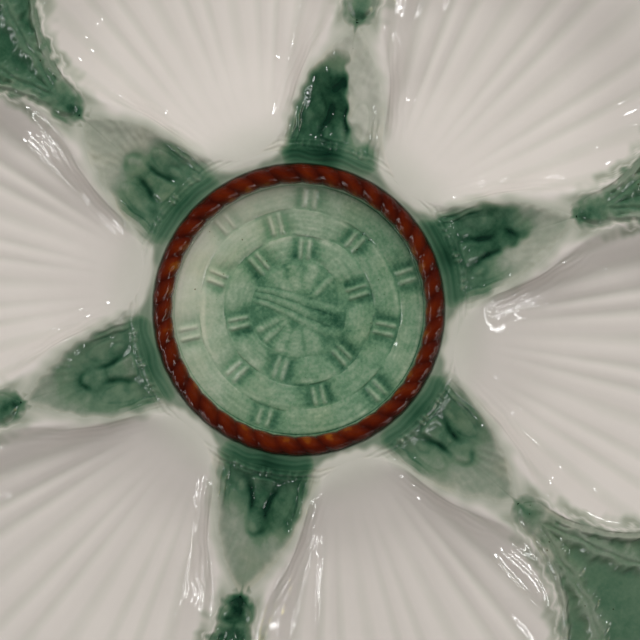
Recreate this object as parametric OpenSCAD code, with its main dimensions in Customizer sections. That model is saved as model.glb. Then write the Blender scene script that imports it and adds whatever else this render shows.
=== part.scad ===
// Oyster plate in glazed earthenware: six ribbed shell wells round a basketwork sauce well with a rope
// border, basketwork panels between the shells and forked seaweed at the rim, on a jiggered back with a foot.
// Z is up, the table is Z = 0, the axis of the plate is Z, and the first shell points along +X.

/* [Plate] */
// Height of the shells' lip at the rim, above the table
lip_out_z = 25.5; // [24:0.5:29]
// Height of the shells' lip beside the rope
lip_in_z = 18.8; // [18:0.2:20]
// How far the rim draws in between the ends of the shells
rim_dip = 4.5; // [3:0.25:6.5]
// Thickness of the plate's back, under the shells
back_wall = 2.6; // [2:0.1:3.4]
// Height of the rim's edge over its back
rim_edge = 2.2; // [1.8:0.1:3]

/* [Foot] */
// Outer radius of the foot ring
foot_r = 64; // [58:1:70]
// Width of the foot ring's flat face
foot_w = 4.6; // [3.5:0.1:6]
// Height of the foot ring
foot_h = 5; // [4.6:0.1:6]

/* [Shells] */
// Radius of a shell's round end
lobe_r = 38.3; // [37.3:0.1:39.3]
// Length of the small ear that joins a round end to its neighbour's
ear_reach = 3.55; // [3.2:0.05:4.2]
// Length of a shell's rounded nose
nose_l = 8.4; // [7:0.2:10]
// Thickness of a shell under its floor
shell_wall = 2.3; // [1.8:0.1:3]
// Ribs in each shell
rib_count = 15; // [11:1:17]
// Height of a rib over its grooves
rib_h = 0.8; // [0.4:0.1:1.2]

/* [Sauce well] */
// Radius of the sauce well's basketwork floor
floor_r = 31.9; // [31.2:0.1:32.6]
// Thickness of the well under its middle, over the plate's back
floor_wall = 3.2; // [2.6:0.1:4]
// Rise of the floor from its middle to the rope
floor_rise = 3.2; // [1:0.2:4]
// Height of the basketwork's relief
weave_h = 0.8; // [0.4:0.1:1.1]

/* [Rope] */
// Width of the rope
rope_w = 4.8; // [4:0.1:5]
// Height of the rope over its seat
rope_h = 4.2; // [3.4:0.1:4.8]
// Strands seen along the ring
strand_count = 38; // [30:1:44]
// Width of the fillet between the rope and the shells
fillet_w = 3.3; // [2.8:0.1:3.8]

/* [Panels] */
// Width of a basketwork panel at its foot
panel_w = 24.6; // [23:0.2:26]
// Depth of a panel's hollow under the lips beside it
panel_sag = 3.2; // [2:0.2:4]
// Height of a panel's column and leaves over its hollow
leaf_h = 0.7; // [0.3:0.1:1.2]

/* [Seaweed] */
// Depth of the ground under the seaweed, below the lips beside it
weed_sag = 1.6; // [1:0.1:2.2]
// Height of a frond over its ground
frond_h = 2.4; // [1.4:0.1:3]
// Width of a frond
frond_w = 6.5; // [5:0.1:8]

/* [Hidden] */

$fn = 96;
shell_count = 6;
half_step = 180 / shell_count;

// Narrow joints between neighbouring pieces and under the pieces that lie on the back
seam = 0.15;
seat_gap = 0.1;
overrun = 5;

// The rope lies round the floor, and the fillet round the rope
rope_r = floor_r + rope_w / 2;
collar_r = rope_r + rope_w / 2 + fillet_w;

// The round ends lie side by side round the axis, with their ears between them
lobe_mid_r = (lobe_r + ear_reach) / sin(half_step);
touch_r = lobe_mid_r * cos(half_step);
far_r = lobe_mid_r + lobe_r;
ground_r = far_r - rim_dip;

// The back: a flat seat in the middle that curves up to the rim
seat_flat_r = touch_r + 2 * seam;
back_z = foot_h;
seat_z = back_z + back_wall;
floor_z = seat_z + floor_wall;
seat_rise = lip_out_z - rim_edge - seat_z;
seat_curve = 2;
back_steps = 12;
// How the lip's height grows from the rope to the rim
lip_curve = 1.15;

// A panel keeps its width near the rope and closes to a point where the shells touch
panel_power = 2.6;
nose_end_r = collar_r + nose_l;

// The round end of a shell grows into a small ear that meets its neighbour
ear_side = half_step - asin(seam / touch_r);
ear_x = touch_r * cos(ear_side) - lobe_mid_r;
ear_y = touch_r * sin(ear_side);
ear_turn = atan2(ear_y, ear_x);
ear_len = norm([ear_x, ear_y]) - lobe_r;
ear_share = 0.06;

// Places along and across a shell, as shares of its length and half width
shell_rows = 9;
well_in_share = 0.36;
well_out_share = 0.6;
well_side_power = 3;
rib_start_share = 0.12;
rib_full_share = 0.55;

// Basketwork: the stakes show in every other ring, and were set by hand
odd_stakes = [-31, 36, 81.5, 144, 202.5, 266];
even_stakes = [1.5, 56.5, 110.5, 175.5, 234.5, 300.5];
all_stakes = [-31, 1.5, 36, 56.5, 81.5, 110.5, 144, 175.5, 202.5, 234.5, 266, 300.5];
stake_pitch = 1.9;
stake_half = stake_pitch / 2;
stake_edge = stake_pitch * 0.85;
stake_foot = stake_pitch * 1.4;
stake_samples = [-stake_foot, -stake_edge, -stake_half, 0, stake_half, stake_edge, stake_foot];
stake_turn_share = 0.44;
ring_edge_shares = [0.18, 0.37, 0.596, 0.796, 0.984];
ring_row_shares = [0, 0.15, 0.85];
band_end_share = 0.15;
core_share = 0.1;
floor_power = 3;

// The rope's cross-section is a D that lies on its seat
seat_lift = 2.1;
rope_points = 9;
rope_rings_per_strand = 4;
strand_lean = 12;
strand_share = 0.14;
fillet_share = 0.5;

// Panels: rows from the rope to the tip, as shares of the way
panel_row_shares = [0, 0.011, 0.044, 0.085, 0.14, 0.195, 0.23, 0.26, 0.33, 0.4, 0.46, 0.51, 0.55, 0.6,
    0.7, 0.8, 0.9, 0.978];
panel_edge_drop = 0.5;
// Half width of the woven column on a panel's axis along the way, as shares of the panel's width
column_shares = [[0.1, 0.11], [0.2, 0.1], [0.31, 0.055], [0.42, 0.07], [0.5, 0.07], [0.55, 0.02], [1, 0.02]];
column_side_share = 0.07;
// Heights along the way of the column and of the leaf beside it, as shares of leaf_h
column_h_shares = [[0.07, 0], [0.12, 1], [0.5, 1], [0.56, 0]];
leaf_h_shares = [[0.12, 0], [0.19, 1], [0.25, 0.3], [0.32, 0.8], [0.5, 0.8], [0.64, 0]];
// Foot, crest and foot of the leaf, and the inner edge of the hem, as shares of the half width
leaf_place_shares = [0.42, 0.56, 0.7, 0.86];

// Seaweed: rows along the shells' round ends, columns across
weed_cols = 14;
weed_tip_share = 0.2;
fork_share = 0.62;
fork_start_r = touch_r + lobe_r / 10;
fork_end_r = touch_r + lobe_r / 2;
weed_edge_drop = 0.3;
frill_count = 4;
frill_share = 0.25;

function share_of(x, low, high) = min(1, max(0, (x - low) / (high - low)));
function smooth(t) = t * t * (3 - 2 * t);
function between(a, b, t) = a + (b - a) * t;
function polar(r, a) = [r * cos(a), r * sin(a)];
function lifted(p, z) = [p[0], p[1], z];

// Height of the back's upper face, on which the other pieces lie, at radius r
function seat_at(r) = seat_z + seat_rise * pow(share_of(r, seat_flat_r, far_r), seat_curve);
// Height of the lips between the pieces at radius r
function lip_at(r) = lip_in_z + (lip_out_z - lip_in_z) * pow(share_of(r, collar_r, far_r), lip_curve);

// Half angle of a panel at radius r, between the flanks of its two shells
function flank_half(r) =
    asin(panel_w / 2 * (1 - pow(share_of(r, collar_r, touch_r), panel_power)) / r);

// Half angle of a shell at radius r, from its nose to the point where it touches its neighbour
function nose_round(r) = sqrt(max(0, 1 - pow(share_of(nose_end_r - r, 0, nose_l), 2)));
function shell_half(r) = (half_step - flank_half(r)) * nose_round(r);

// The round end of a shell, from ear to ear, as a point for t from -1 to 1
function ear_at(t) = ear_len * pow(share_of(abs(t), 1 - ear_share, 1), 2);
function lobe_point(t) = [lobe_mid_r, 0] + polar(lobe_r + ear_at(t), t * ear_turn);
function nose_point(t) =
    let (r = nose_end_r - (nose_l - seam) * cos(t * 90))
    polar(r, (half_step - flank_half(r)) * sin(t * 90));
function flank_point(s, side) =
    let (r = between(nose_end_r, touch_r, s), ear = lobe_point(side), foot = nose_point(side))
    polar(r, side * (half_step - flank_half(r))) + s * (ear - polar(touch_r, side * half_step));

// A point of a shell in plan: the four edges blended, for t across from -1 to 1 and s from nose to end
function shell_point(t, s) =
    let (w = (t + 1) / 2, l = flank_point(s, -1), r = flank_point(s, 1))
    between(nose_point(t), lobe_point(t), s) + between(l, r, w)
    - between(between(nose_point(-1), nose_point(1), w), between(lobe_point(-1), lobe_point(1), w), s);

// How much of the well's depth is reached at a point of a shell, from 0 at the edge to 1 on the floor
function well_share(t, s) =
    (1 - pow(abs(t), well_side_power))
    * (1 - pow(1 - share_of(s, 0, well_in_share), 2))
    * (1 - pow(share_of(s, well_out_share, 1), 2));
// Ribs fan out evenly from flank to flank, and stand full from halfway out
function rib_at(t, s) =
    rib_h * smooth(share_of(s, rib_start_share, rib_full_share)) * (1 - cos(360 * rib_count * (t + 1) / 2)) / 2;
function shell_z(t, s) =
    let (r = norm(shell_point(t, s)), low = seat_at(r) + shell_wall)
    between(lip_at(r), low, well_share(t, s)) + rib_at(t, s);

// Height of the basketwork over its ground. d is the way to the nearest pair of stakes that shows, and
// u runs from 0 to 1 across the ring.
function stake_relief(d) = max(0, 1 - abs(abs(d) - stake_half) / (stake_edge - stake_half));
function withy_relief(d) = smooth(share_of(abs(d), stake_edge, 2 * stake_foot));
function weave_at(d, u) =
    weave_h * max(stake_relief(d), withy_relief(d)) * min(1, u / band_end_share, (1 - u) / band_end_share);
function turn_gap(a, b) = let (d = (a - b + 3 * 180) % 360 - 180) d;
function nearest_gap(a, stakes) =
    let (gaps = [for (s = stakes) turn_gap(a, s)], low = min([for (g = gaps) abs(g)]))
    [for (g = gaps) if (abs(g) == low) g][0];

// Two sheets of points, upper and lower, closed round their edges into one solid
module slab(upper, lower) {
    rows = len(upper);
    cols = len(upper[0]);
    count = rows * cols;
    faces = concat(
        [for (i = [0:rows - 2], j = [0:cols - 2])
            let (a = i * cols + j, b = a + 1, c = a + cols, d = c + 1)
            each [[a, b, d], [a, d, c], [count + a, count + d, count + b], [count + a, count + c, count + d]]],
        [for (i = [0:rows - 2])
            let (a = i * cols, c = a + cols, b = a + cols - 1, d = b + cols)
            each [[a, c, count + c], [a, count + c, count + a], [b, count + b, count + d], [b, count + d, d]]],
        [for (j = [0:cols - 2])
            let (a = j, b = j + 1, c = (rows - 1) * cols + j, d = c + 1)
            each [[a, count + a, count + b], [a, count + b, b], [c, d, count + d], [c, count + d, count + c]]]
    );
    polyhedron(concat([for (row = upper) each row], [for (row = lower) each row]), faces);
}

// Rings of points round the axis, closed by a point in the middle and a flat base
module dome(rings, middle, base_z) {
    rows = len(rings);
    cols = len(rings[0]);
    rim = rows * cols;
    hub = rim + cols;
    faces = concat(
        [for (i = [0:rows - 2], j = [0:cols - 1])
            let (k = (j + 1) % cols, a = i * cols + j, b = i * cols + k, c = a + cols, d = b + cols)
            each [[a, b, d], [a, d, c]]],
        [for (j = [0:cols - 1]) let (k = (j + 1) % cols) [hub, k, j]],
        [for (j = [0:cols - 1])
            let (k = (j + 1) % cols, a = rim - cols + j, b = rim - cols + k)
            each [[a, b, rim + k], [a, rim + k, rim + j]]],
        [[for (j = [0:cols - 1]) rim + j]]
    );
    base = [for (p = rings[rows - 1]) [p[0], p[1], base_z]];
    polyhedron(concat([for (ring = rings) each ring], base, [middle]), faces);
}

// Cross-sections round a closed ring
module closed_ring(sections) {
    rows = len(sections);
    cols = len(sections[0]);
    faces = [for (i = [0:rows - 1], j = [0:cols - 1])
        let (k = (j + 1) % cols, n = (i + 1) % rows, a = i * cols + j, b = i * cols + k, c = n * cols + j, d = n * cols + k)
        each [[a, b, d], [a, d, c]]];
    polyhedron([for (section = sections) each section], faces);
}

module back_outline() {
    cylinder(h = lip_out_z + overrun, r = ground_r);
    for (k = [0:shell_count - 1])
        rotate([0, 0, k * 2 * half_step])
            translate([lobe_mid_r, 0, 0])
                cylinder(h = lip_out_z + overrun, r = lobe_r);
}

module plate_body() {
    radii = [for (i = [0:back_steps]) between(seat_flat_r, far_r, i / back_steps)];
    upper = [for (r = radii) [r, seat_at(r)]];
    lower = [for (i = [back_steps:-1:0]) [radii[i], seat_at(radii[i]) - back_wall]];
    color("antiquewhite")
        intersection() {
            rotate_extrude()
                polygon(concat([[0, back_z], [0, seat_z]], upper, lower));
            back_outline();
        }
}

module foot_ring() {
    color("antiquewhite")
        difference() {
            cylinder(h = foot_h, r1 = foot_r, r2 = foot_r + foot_h / 4);
            translate([0, 0, -overrun])
                cylinder(h = foot_h + 2 * overrun, r = foot_r - foot_w);
        }
}

module sauce_well() {
    turns = turns_at(floor_r);
    rings = len(ring_edge_shares) - 1;
    ledge_z = lip_in_z - seat_lift;
    weave_rings = [for (k = [0:rings - 1], u = ring_row_shares)
        let (r = floor_r * between(ring_edge_shares[k], ring_edge_shares[k + 1], u),
            stakes = k % 2 == 0 ? even_stakes : odd_stakes)
        [for (a = turns_at(r)) lifted(polar(r, a),
            floor_at(r) + weave_at(nearest_gap(a, stakes) * r * PI / 180, u))]];
    core = [for (a = turns_at(floor_r * core_share)) lifted(polar(floor_r * core_share, a), floor_z + weave_h / 2)];
    inner = [for (a = turns) lifted(polar(floor_r * ring_edge_shares[rings], a), floor_at(floor_r))];
    step = [for (a = turns) lifted(polar(floor_r, a), ledge_z)];
    ledge = [for (a = turns) lifted(polar(rope_r + rope_w / 2 + seam, a), ledge_z)];
    mid_r = between(rope_r + rope_w / 2, collar_r, fillet_share);
    fillet = [for (a = turns) lifted(polar(mid_r, a), between(ledge_z, lip_in_z, fillet_share / 2))];
    edge = [for (a = turns) lifted(polar(collar_r - seam, a), lip_in_z - seam)];
    color("darkseagreen")
        dome(concat([core], weave_rings, [inner, step, ledge, fillet, edge]),
            [0, 0, floor_z + weave_h], seat_z + seat_gap);
}
function floor_at(r) = floor_z + floor_rise * pow(r / floor_r, floor_power);
// Angles at which the ring at radius r has points: close together on the stakes, and one midway
function turns_at(r) =
    [for (i = [0:len(all_stakes) - 1])
        let (next = i + 1 < len(all_stakes) ? all_stakes[i + 1] : all_stakes[0] + 360,
            last = i > 0 ? all_stakes[i - 1] : all_stakes[len(all_stakes) - 1] - 360)
        each concat(
            [for (s = stake_samples)
                let (room = stake_turn_share * (s < 0 ? all_stakes[i] - last : next - all_stakes[i]),
                    turn = s / r * 180 / PI)
                all_stakes[i] + (abs(turn) > room * abs(s) / stake_foot ? room * s / stake_foot : turn)],
            [(all_stakes[i] + next) / 2])];

module rope_ring() {
    seat = lip_in_z - seat_lift + seat_gap;
    steps = strand_count * rope_rings_per_strand;
    color("saddlebrown")
        closed_ring([for (i = [0:steps - 1])
            let (turn = 360 * i / steps)
            [for (j = [0:rope_points - 1])
                let (b = 180 * j / (rope_points - 1),
                    strand = cos(strand_count * (turn + strand_lean * cos(b) / 2)),
                    swell = 1 + strand_share * (strand - 1) * sin(b),
                    r = rope_r + rope_w / 2 * cos(b) * swell)
                lifted(polar(r, turn), seat + rope_h * sin(b) * swell)]]);
}

module shell_well(number) {
    cols = 2 * rib_count;
    places = [for (i = [0:shell_rows]) i / shell_rows];
    upper = [for (s = places) [for (j = [0:cols])
        let (t = 2 * j / cols - 1) lifted(shell_point(t, s), shell_z(t, s))]];
    lower = [for (s = places) [for (j = [0:cols])
        let (q = shell_point(2 * j / cols - 1, s)) lifted(q, seat_at(norm(q)) + seat_gap)]];
    color("white")
        rotate([0, 0, (number - 1) * 2 * half_step])
            slab(upper, lower);
}

module basket_panel(number) {
    radii = [for (share = panel_row_shares) between(collar_r, touch_r, share)];
    upper = [for (r = radii) [for (place = panel_places(r)) lifted(panel_point(r, place[0]), panel_z(r, place))]];
    lower = [for (row = upper) [for (p = row) lifted(p, seat_z + seat_gap)]];
    color("seagreen")
        rotate([0, 0, (2 * number - 1) * half_step])
            slab(upper, lower);
}
function panel_point(r, q) = polar(r, q * (half_step - shell_half(r) - seam / r * 180 / PI));
// Places across a panel: how far out each lies, from -1 to 1, and how high its relief stands
function panel_places(r) =
    let (along = share_of(r, collar_r, touch_r),
        half_w = r * (half_step - shell_half(r)) * PI / 180,
        column = min(lookup(along, column_shares) * panel_w / half_w, leaf_place_shares[0] / 2),
        column_h = lookup(along, column_h_shares),
        leaf = lookup(along, leaf_h_shares),
        out = [[column, column_h], [column + column_side_share, 0], [leaf_place_shares[0], 0],
            [leaf_place_shares[1], leaf], [leaf_place_shares[2], 0], [leaf_place_shares[3], 0], [1, 0]])
    concat([for (i = [len(out) - 1:-1:0]) [-out[i][0], out[i][1]]], [[0, column_h]], out);
function panel_z(r, place) =
    let (along = share_of(r, collar_r, touch_r))
    lip_at(r) - panel_edge_drop - panel_sag * (1 - place[0] * place[0]) * (1 - pow(along, 2)) + leaf_h * place[1];

module seaweed(number) {
    low_share = acos((ground_r * ground_r + lobe_mid_r * lobe_mid_r - lobe_r * lobe_r) / (2 * ground_r * lobe_mid_r));
    end_point = polar(ground_r, low_share) - [lobe_mid_r, 0];
    end_share = atan2(end_point[1], end_point[0]) / ear_turn;
    cols = 2 * rib_count;
    ear = [for (j = [cols:-1:cols - 1]) lobe_point(2 * j / cols - 1)];
    side = [for (j = [cols - 1:-1:0]) let (t = 2 * j / cols - 1) if (t > end_share) lobe_point(t)];
    edge = concat([between(ear[0], ear[1], weed_tip_share)], side, [lobe_point(end_share)]);
    upper = [for (p = edge)
        let (r = norm(p), half = half_step - atan2(p[1], p[0]) - seam / r * 180 / PI)
        [for (j = [0:weed_cols]) let (q = 2 * j / weed_cols - 1)
            lifted(polar(r, q * half), weed_z(r, q, half))]];
    lower = [for (row = upper) [for (p = row) lifted(p, seat_at(norm([p[0], p[1]])) + seat_gap)]];
    color("mediumseagreen")
        rotate([0, 0, (2 * number - 1) * half_step])
            slab(upper, lower);
}
// Seaweed: a stem that forks into two frilled fronds along the shells
function weed_z(r, q, half) =
    let (fork = fork_share * smooth(share_of(r, fork_start_r, fork_end_r)),
        wide = r * half * PI / 180,
        frill = 1 + frill_share * cos(360 * frill_count * share_of(r, touch_r, ground_r)),
        off = (abs(q) - fork) * wide / (frond_w * frill / 2),
        frond = frond_h * max(0, 1 - off * off))
    lip_at(r) - weed_edge_drop - weed_sag * (1 - pow(abs(q), 4)) + frond * (1 - pow(abs(q), 8));

plate_body();
foot_ring();
sauce_well();
rope_ring();
shell_well(1);  // shell_well_1
shell_well(2);  // shell_well_2
shell_well(3);  // shell_well_3
shell_well(4);  // shell_well_4
shell_well(5);  // shell_well_5
shell_well(6);  // shell_well_6
basket_panel(1);  // basket_panel_1
basket_panel(2);  // basket_panel_2
basket_panel(3);  // basket_panel_3
basket_panel(4);  // basket_panel_4
basket_panel(5);  // basket_panel_5
basket_panel(6);  // basket_panel_6
seaweed(1);  // seaweed_1
seaweed(2);  // seaweed_2
seaweed(3);  // seaweed_3
seaweed(4);  // seaweed_4
seaweed(5);  // seaweed_5
seaweed(6);  // seaweed_6
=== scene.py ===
# %% [markdown]
# # A glazed oyster plate
# This lesson dresses the plate's solid model with the surfaces and the glazes of the real pot. The plate was
# pressed in one piece: six ribbed shells round a basketwork sauce well with a rope border, pointed basketwork
# panels in the gaps beside the rope, and forked seaweed in the gaps at the rim.
# Each feature becomes one mesh, worked out with numpy as heights over a plan. That suits a pressed pot, because
# neighbours share one border curve and one height there, so the glaze seems to run over them unbroken.

# %% Load the frame
import bpy
import numpy as np
from numpy import (arange, arccos, arctan2, concatenate, cos, degrees, exp, hypot, linspace, maximum, radians,
                   sin, sqrt, where)
from mathutils import Matrix, Vector


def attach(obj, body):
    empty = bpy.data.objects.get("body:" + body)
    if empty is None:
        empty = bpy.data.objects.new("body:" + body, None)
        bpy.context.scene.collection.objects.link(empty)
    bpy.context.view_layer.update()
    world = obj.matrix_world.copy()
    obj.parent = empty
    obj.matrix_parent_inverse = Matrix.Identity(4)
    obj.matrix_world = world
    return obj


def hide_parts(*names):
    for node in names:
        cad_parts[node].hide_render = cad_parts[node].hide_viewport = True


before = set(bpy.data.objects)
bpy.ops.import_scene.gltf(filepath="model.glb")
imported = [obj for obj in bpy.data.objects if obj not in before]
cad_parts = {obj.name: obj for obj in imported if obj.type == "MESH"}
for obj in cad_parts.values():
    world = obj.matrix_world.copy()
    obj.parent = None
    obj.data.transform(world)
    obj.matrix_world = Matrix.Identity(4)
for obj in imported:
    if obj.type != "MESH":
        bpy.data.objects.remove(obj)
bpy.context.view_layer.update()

scene = bpy.context.scene

# %% [markdown]
# ## Measures
# A potter's plate is drawn with compasses, so a few radii and heights set everything. They are the sizes of the
# solid model, in millimetres, which the mesh helper turns into Blender's metres. Angles are in degrees,
# anticlockwise seen from above, and the first shell points along +X.

# %% Sizes of the plate
MM = 0.001
SHELLS = 6
STEP = 360 / SHELLS
HALF_STEP = STEP / 2
COLLAR_R = 40.0
NOSE_L = 8.4
NOSE_END_R = COLLAR_R + NOSE_L
LOBE_R = 38.3
EAR_REACH = 3.55
RIM_DIP = 4.5
LOBE_MID_R = (LOBE_R + EAR_REACH) / sin(radians(HALF_STEP))
TOUCH_R = LOBE_MID_R * cos(radians(HALF_STEP))
FAR_R = LOBE_MID_R + LOBE_R
GROUND_R = FAR_R - RIM_DIP
PANEL_HALF_W = 12.3
PANEL_POWER = 2.6
LIP_IN_Z = 18.8
LIP_OUT_Z = 25.5
BACK_Z = 5.0
BACK_WALL = 2.6
SEAT_Z = BACK_Z + BACK_WALL
RIM_WALL = 2.2
SEAT_RISE = LIP_OUT_Z - RIM_WALL - SEAT_Z
SHELL_WALL = 2.3
LAY = 0.02
RADIAN = radians(1)

# %% [markdown]
# ## Small helpers for curves
# Every profile below is built from a few ideas: a ramp held at its ends, a ramp that starts flat, and a hump.
# Flat starts round a ridge the way glaze does, since clay edges are never sharp once the glaze has run.

# %% Ramps and humps
def share_of(x, low, high):
    """How far x has come from low to high, held between 0 and 1."""
    return np.clip((x - low) / (high - low), 0, 1)

def smooth(x, low=0.0, high=1.0):
    """The same ramp with flat ends: three times the share squared less twice its cube."""
    t = share_of(x, low, high)
    return t * t * (3 - 2 * t)

def span(x, low, full, fading, gone):
    """1 from full to fading, and 0 below low and above gone, with smooth ramps between."""
    return smooth(x, low, full) * (1 - smooth(x, fading, gone))

def hump(x, middle, width):
    """A hump of height 1: e to the power of minus the square of the distance from its middle over its width."""
    return exp(-((x - middle) / width) ** 2)

def soft_start(x, w):
    """A ramp from 0 to 1 that leaves 0 with no slope: the root of x squared plus w squared, less w, scaled."""
    return (sqrt(x * x + w * w) - w) / (sqrt(1 + w * w) - w)

# %% Polar points and unevenness
def polar(r, a):
    """Plan point at radius r and angle a in degrees."""
    a = radians(a)
    return np.stack([r * cos(a), r * sin(a)], -1)

def round_turn(count):
    """That many angles in degrees, spaced evenly round the axis."""
    return arange(count) * 360 / count

def raised(plan, z):
    """Plan points with their heights."""
    return concatenate([plan, z[..., None]], -1)

def turn_gap(a, b):
    """Signed angle from b to a, between -180 and 180 degrees."""
    return (a - b + 180) % 360 - 180

def drift(x, y, size, seed):
    """Unevenness of mean 0 that seldom leaves -1 to 1: waves of about that length in all directions, added."""
    rng = np.random.default_rng(seed)
    turns, phases = rng.uniform(0, 2 * np.pi, (2, 14))
    return sum(sin(2 * np.pi / (size * scale) * (x * cos(turn) + y * sin(turn)) + phase)
               for turn, phase, scale in zip(turns, phases, rng.uniform(0.6, 1.5, 14))) / 4

def grain(r, a, seed):
    """Streaks of mean 0 along the weave: waves that are long round the ring and short across it, added."""
    rng = np.random.default_rng(seed)
    turns, waves = rng.integers(-16, 17, 18), rng.uniform(1.2, 6.5, 18)
    return sum(sin(turn * radians(a) + wave * r + phase)
               for turn, wave, phase in zip(turns, waves, rng.uniform(0, 2 * np.pi, 18))) / 4.5

# %% [markdown]
# ## The plan: where one feature ends and the next begins
# A shell is a fan with a round nose beside the rope, two flanks, and a big round end. A panel is what the
# flanks leave free. A power curve follows the hand-cut flanks well: the panel keeps its width beside the rope
# and then closes quickly to a point where two shells touch.

# %% Flanks, noses and round ends
def flank_half(r):
    """Half angle of a panel at radius r: its half width shrinks with a power of the way to its tip."""
    return degrees(np.arcsin(PANEL_HALF_W * (1 - share_of(r, COLLAR_R, TOUCH_R) ** PANEL_POWER) / r))

def shell_half(r):
    """Half angle of a shell at radius r: what the panel leaves, rounded like a quarter circle at the nose."""
    nose = sqrt(1 - share_of(NOSE_END_R - r, 0, NOSE_L) ** 2)
    return (HALF_STEP - flank_half(r)) * nose

EAR = polar(TOUCH_R, HALF_STEP) - [LOBE_MID_R, 0]
EAR_TURN = degrees(arctan2(EAR[1], EAR[0]))
EAR_LEN = hypot(*EAR) - LOBE_R
EAR_SHARE = 0.06

def lobe_point(t):
    """Round end of a shell: a circle for t from -1 to 1, drawn out into a small ear at each end."""
    ear = EAR_LEN * share_of(abs(t), 1 - EAR_SHARE, 1) ** 2
    return polar(LOBE_R + ear, t * EAR_TURN) + [LOBE_MID_R, 0]

def nose_point(t):
    """Nose of a shell: a quarter turn each way from the point beside the rope to the flank."""
    r = NOSE_END_R - NOSE_L * cos(radians(90 * t))
    return polar(r, (HALF_STEP - flank_half(r)) * sin(radians(90 * t)))

def flank_point(s, side):
    """Flank of a shell, from its nose at s 0 to its ear at s 1."""
    r = NOSE_END_R + (TOUCH_R - NOSE_END_R) * s
    return polar(r, side * (HALF_STEP - flank_half(r)))

def shell_plan(t, s):
    """Plan point inside a shell: the four edges blended, less the blend of their corners."""
    w = ((t + 1) / 2)[..., None]
    v = s[..., None]
    edges = (1 - v) * nose_point(t) + v * lobe_point(t) + (1 - w) * flank_point(s, -1) + w * flank_point(s, 1)
    near = (1 - w) * nose_point(-1) + w * nose_point(1)
    far = (1 - w) * lobe_point(-1) + w * lobe_point(1)
    return edges - (1 - v) * near - v * far

print("Ear of a shell stands out by", round(EAR_LEN, 2), "mm")

# %% [markdown]
# ## Heights that every feature shares
# The back of the plate is flat in the middle and curves up to the rim, and the lips between the features climb
# too. The lip's height depends only on the distance from the axis, so two neighbours agree on it along the
# whole of their border, and each leaves the border with no slope across it.

# %% Seat, lip and rim
def seat_z(r):
    """Upper face of the plate's back: flat, then rising with the square of the way to the rim."""
    return SEAT_Z + SEAT_RISE * share_of(r, TOUCH_R + 0.3, FAR_R) ** 2

def lip_z(r):
    """Height of the lips between features, a little more than straight from the rope to the rim."""
    return LIP_IN_Z + (LIP_OUT_Z - LIP_IN_Z) * share_of(r, COLLAR_R, FAR_R) ** 1.15

def fold(x, y):
    """Radius, and angle to the nearest shell's middle, between -30 and 30 degrees."""
    a = degrees(arctan2(y, x))
    return hypot(x, y), (a + HALF_STEP) % STEP - HALF_STEP

def rim_gap(x, y):
    """Distance in from the plate's outline, which is a circle and six round ends joined."""
    r, a = fold(x, y)
    p = polar(r, a)
    return maximum(GROUND_R - r, LOBE_R - hypot(p[..., 0] - LOBE_MID_R, p[..., 1]))

RIM_ROUND = 1.6

def rim_drop(x, y):
    """How far the rim's edge rolls down: a quarter circle in the last millimetres before the outline."""
    e = np.clip(RIM_ROUND - rim_gap(x, y), 0, RIM_ROUND)
    return RIM_ROUND - sqrt(RIM_ROUND ** 2 - e ** 2)

# %% [markdown]
# ## How thick the green glaze lies
# The potter dabbed green into the panels, the seaweed and the well, over a cream glaze that covers all. In the
# kiln the green ran, so its edge is a soft wash some millimetres wide. The mesh carries the thickness of the
# green at each point, from 0 to 1, and the glaze material turns thickness into colour.

# %% Where a shell's ribs and its round end lie
RIB_FOCUS = 26.0
RIB_STEP = 6.2

def rib_wave(x, y):
    """Ribs of a scallop: uneven rays from a point behind its hinge, 1 on the crests, 0 in the grooves."""
    turn = degrees(arctan2(y, x - RIB_FOCUS))
    return 0.5 + 0.5 * cos(2 * np.pi * (turn + 0.7 * sin(0.33 * turn)) / RIB_STEP)

def lobe_gap(x, y):
    """Distance beyond the round end of the nearest shell, with its edge made wavy by the ribs."""
    p = polar(*fold(x, y))
    gap = hypot(p[..., 0] - LOBE_MID_R, p[..., 1]) - LOBE_R
    r, a = hypot(x, y), degrees(arctan2(y, x))
    ruffle = 0.45 * sin(r * 1.15 + a * 0.31) + 0.25 * sin(r * 2.7 + a * 0.5)
    wavy = 0.8 * (rib_wave(p[..., 0], p[..., 1]) - 0.5) + ruffle
    return gap - wavy * smooth(r, TOUCH_R + 1, TOUCH_R + 7) + 0.35 * drift(x, y, 4, 3)

# %% [markdown]
# Each panel and each seaweed was dabbed by hand. A panel's dab is given by its strength, the radii where it
# starts to fade and where it has gone, and how much of one side is lost.

# %% Thickness of the green
DABS = np.array([[0.86, 58, 66, 0.85], [0.62, 49, 60, 0.0], [0.58, 54, 68, 0.0], [0.78, 51, 62, 0.3],
                 [0.64, 49, 62, 0.2], [0.76, 55, 65, 0.45]])
TIP_GREEN = np.array([0.12, 0.18, 0.27, 0.29, 0.28, 0.21])
WEED_DABS = np.array([0.78, 0.95, 1.0, 1.3, 0.67, 0.88])
EDGE_WASH = 0.17

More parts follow.
